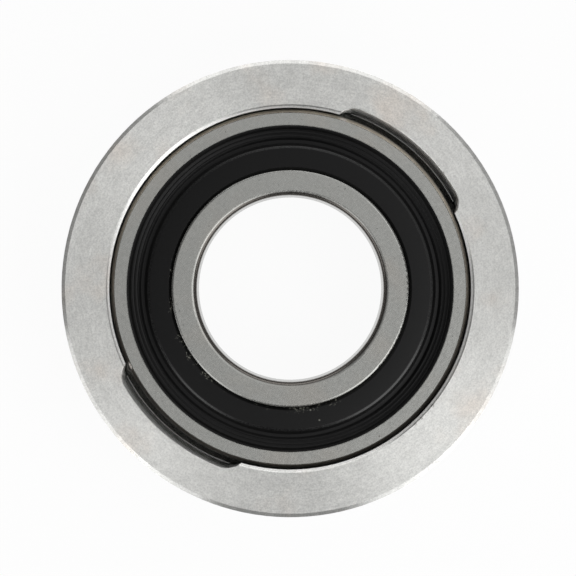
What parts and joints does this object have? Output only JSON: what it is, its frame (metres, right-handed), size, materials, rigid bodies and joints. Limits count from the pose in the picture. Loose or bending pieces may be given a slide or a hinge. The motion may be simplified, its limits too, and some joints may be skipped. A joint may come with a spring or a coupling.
{
  "type": "gimbal bearing",
  "caption": "Sealed ball bearing with a spherical outside that swivels in a round steel carrier with loading slots, to line up with a shaft.",
  "frame": {"origin": "centre of the spherical seat, on the bore's axis, midway between the two faces", "axes": "+Z along the bore towards the slotted front, X through the two loading slots"},
  "size_m": [0.0856, 0.0856, 0.025],
  "materials": {
    "carrier_steel": "turned and satin ground",
    "race_steel": "fine ground",
    "seal_rubber": "matt black",
    "cage_steel": "pressed sheet",
    "ball_steel": "polished",
    "rivet_steel": "plain"
  },
  "bodies": {
    "carrier_ring": {"carrier": "carrier_steel"},
    "outer_ring": {"outer_race": "race_steel", "front_seal": "seal_rubber", "back_seal": "seal_rubber"},
    "inner_ring": {"inner_race": "race_steel"},
    "ball_cage": {"front_cage_half": "cage_steel", "back_cage_half": "cage_steel", "cage_rivet_1": "rivet_steel", "cage_rivet_2": "rivet_steel", "cage_rivet_3": "rivet_steel", "cage_rivet_4": "rivet_steel", "cage_rivet_5": "rivet_steel", "cage_rivet_6": "rivet_steel", "cage_rivet_7": "rivet_steel", "cage_rivet_8": "rivet_steel", "cage_rivet_9": "rivet_steel"},
    "rolling_ball_1": {"ball_1": "ball_steel"},
    "rolling_ball_2": {"ball_2": "ball_steel"},
    "rolling_ball_3": {"ball_3": "ball_steel"},
    "rolling_ball_4": {"ball_4": "ball_steel"},
    "rolling_ball_5": {"ball_5": "ball_steel"},
    "rolling_ball_6": {"ball_6": "ball_steel"},
    "rolling_ball_7": {"ball_7": "ball_steel"},
    "rolling_ball_8": {"ball_8": "ball_steel"},
    "rolling_ball_9": {"ball_9": "ball_steel"}
  },
  "joints": [
    {"name": "swivel", "type": "hinge", "parent": "carrier_ring", "child": "outer_ring", "pos_m": [0, 0, 0], "axis": [1, 0, 0], "range_deg": [-90, 90]},
    {"name": "inner_spin", "type": "hinge", "parent": "outer_ring", "child": "inner_ring", "pos_m": [0, 0, 0], "axis": [0, 0, 1], "continuous": true},
    {"name": "cage_spin", "type": "hinge", "parent": "outer_ring", "child": "ball_cage", "pos_m": [0, 0, 0], "axis": [0, 0, 1], "continuous": true},
    {"name": "ball_1_roll", "type": "hinge", "parent": "ball_cage", "child": "rolling_ball_1", "pos_m": [0.02625, 0, 0], "axis": [0, 0, 1], "continuous": true},
    {"name": "ball_2_roll", "type": "hinge", "parent": "ball_cage", "child": "rolling_ball_2", "pos_m": [0.02011, 0.01687, 0], "axis": [0, 0, 1], "continuous": true},
    {"name": "ball_3_roll", "type": "hinge", "parent": "ball_cage", "child": "rolling_ball_3", "pos_m": [0.00456, 0.02585, 0], "axis": [0, 0, 1], "continuous": true},
    {"name": "ball_4_roll", "type": "hinge", "parent": "ball_cage", "child": "rolling_ball_4", "pos_m": [-0.01312, 0.02273, 0], "axis": [0, 0, 1], "continuous": true},
    {"name": "ball_5_roll", "type": "hinge", "parent": "ball_cage", "child": "rolling_ball_5", "pos_m": [-0.02467, 0.00898, 0], "axis": [0, 0, 1], "continuous": true},
    {"name": "ball_6_roll", "type": "hinge", "parent": "ball_cage", "child": "rolling_ball_6", "pos_m": [-0.02467, -0.00898, 0], "axis": [0, 0, 1], "continuous": true},
    {"name": "ball_7_roll", "type": "hinge", "parent": "ball_cage", "child": "rolling_ball_7", "pos_m": [-0.01312, -0.02273, 0], "axis": [0, 0, 1], "continuous": true},
    {"name": "ball_8_roll", "type": "hinge", "parent": "ball_cage", "child": "rolling_ball_8", "pos_m": [0.00456, -0.02585, 0], "axis": [0, 0, 1], "continuous": true},
    {"name": "ball_9_roll", "type": "hinge", "parent": "ball_cage", "child": "rolling_ball_9", "pos_m": [0.02011, -0.01687, 0], "axis": [0, 0, 1], "continuous": true}
  ],
  "couplings": [
    {"joint": "cage_spin", "follows": "inner_spin", "ratio": 0.39417},
    {"joint": "ball_1_roll", "follows": "inner_spin", "ratio": -2.2564},
    {"joint": "ball_2_roll", "follows": "inner_spin", "ratio": -2.2564},
    {"joint": "ball_3_roll", "follows": "inner_spin", "ratio": -2.2564},
    {"joint": "ball_4_roll", "follows": "inner_spin", "ratio": -2.2564},
    {"joint": "ball_5_roll", "follows": "inner_spin", "ratio": -2.2564},
    {"joint": "ball_6_roll", "follows": "inner_spin", "ratio": -2.2564},
    {"joint": "ball_7_roll", "follows": "inner_spin", "ratio": -2.2564},
    {"joint": "ball_8_roll", "follows": "inner_spin", "ratio": -2.2564},
    {"joint": "ball_9_roll", "follows": "inner_spin", "ratio": -2.2564}
  ]
}
